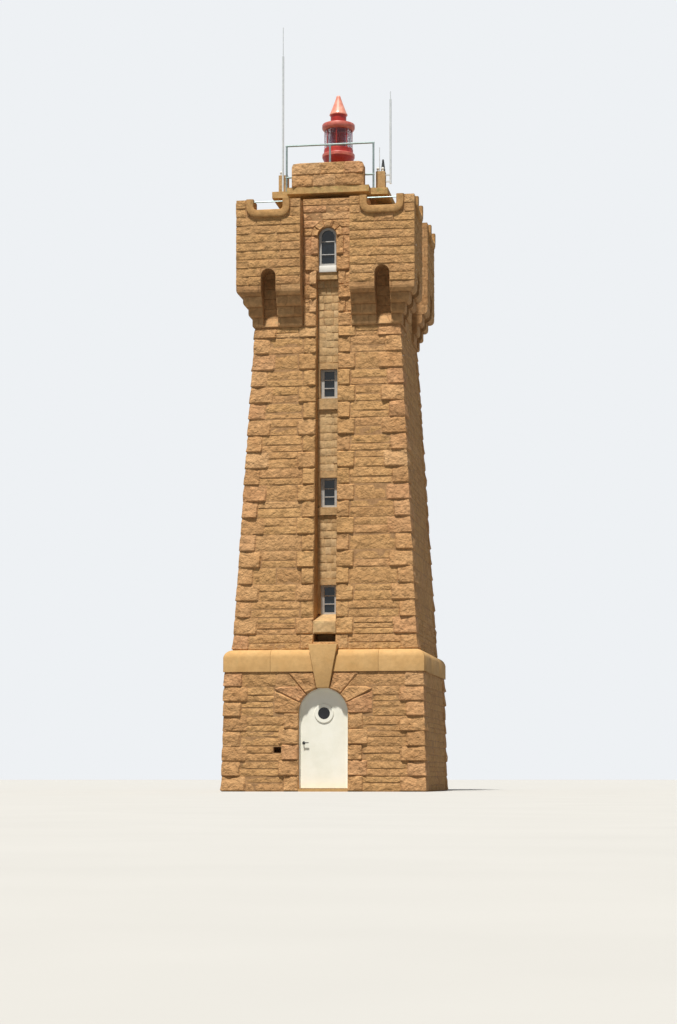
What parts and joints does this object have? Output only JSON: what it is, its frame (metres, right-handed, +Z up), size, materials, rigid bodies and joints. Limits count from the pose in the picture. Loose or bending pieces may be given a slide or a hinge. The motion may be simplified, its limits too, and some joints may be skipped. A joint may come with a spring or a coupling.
{
  "type": "lighthouse",
  "caption": "Square battered stone lighthouse with a corbelled, crenellated crown, a hinged arched entrance door, a recessed window strip and a red lantern.",
  "frame": {"origin": "centre of the tower's foot at ground level", "axes": "+Z up, -Y out of the face with the entrance door, +X to the right seen from the door side"},
  "size_m": [4.134, 4.175, 16.06],
  "materials": {
    "wall_stone": "rock-faced granite",
    "dressed_stone": "fine dressed granite",
    "floor_stone": "worn stone slab",
    "white_paint": "white gloss paint on timber",
    "dark_glass": "clear window glass",
    "dark_iron": "black painted iron",
    "galvanised_steel": "weathered galvanised tube",
    "antenna_white": "white glass-fibre tube",
    "red_paint": "weathered red enamel",
    "lantern_glass": "clear lantern glass",
    "red_lens": "red moulded lens"
  },
  "bodies": {
    "tower": {"antenna_posts": "wall_stone", "antenna_whips": "antenna_white", "base_back_wall": "wall_stone", "base_front_left_wall": "wall_stone", "base_front_right_wall": "wall_stone", "base_left_wall": "wall_stone", "base_right_wall": "wall_stone", "crenel_bars": "galvanised_steel", "crown_bay_front": "wall_stone", "crown_bays": "wall_stone", "crown_corner_back_left": "wall_stone", "crown_corner_back_right": "wall_stone", "crown_corner_front_left": "wall_stone", "crown_corner_front_right": "wall_stone", "door_arch": "wall_stone", "door_frame": "white_paint", "door_jambs": "wall_stone", "door_keystone": "dressed_stone", "door_pintles": "dark_iron", "door_threshold": "dressed_stone", "lantern_bars": "red_paint", "lantern_cornice": "red_paint", "lantern_glass": "lantern_glass", "lantern_lamp": "red_lens", "lantern_pedestal": "red_paint", "lantern_roof": "red_paint", "platform_core": "wall_stone", "platform_front_block": "wall_stone", "platform_railing": "galvanised_steel", "platform_slab": "floor_stone", "room_floors": "floor_stone", "shaft_back_wall": "wall_stone", "shaft_front_left_wall": "wall_stone", "shaft_front_right_wall": "wall_stone", "shaft_left_wall": "wall_stone", "shaft_right_wall": "wall_stone", "string_course": "dressed_stone", "strip_panels": "wall_stone", "terrace_floor": "floor_stone", "weather_instrument": "dark_iron", "window_frames": "white_paint", "window_glass": "dark_glass", "window_sills": "dressed_stone", "window_surrounds": "dressed_stone"},
    "door": {"door_leaf": "white_paint", "door_porthole_ring": "white_paint", "door_porthole_glass": "dark_glass", "door_handle": "dark_iron", "door_straps": "dark_iron"}
  },
  "joints": [
    {"name": "door_swing", "type": "hinge", "parent": "tower", "child": "door", "pos_m": [0.504, -1.835, 1], "axis": [0, 0, -1], "range_deg": [0, 95]}
  ]
}
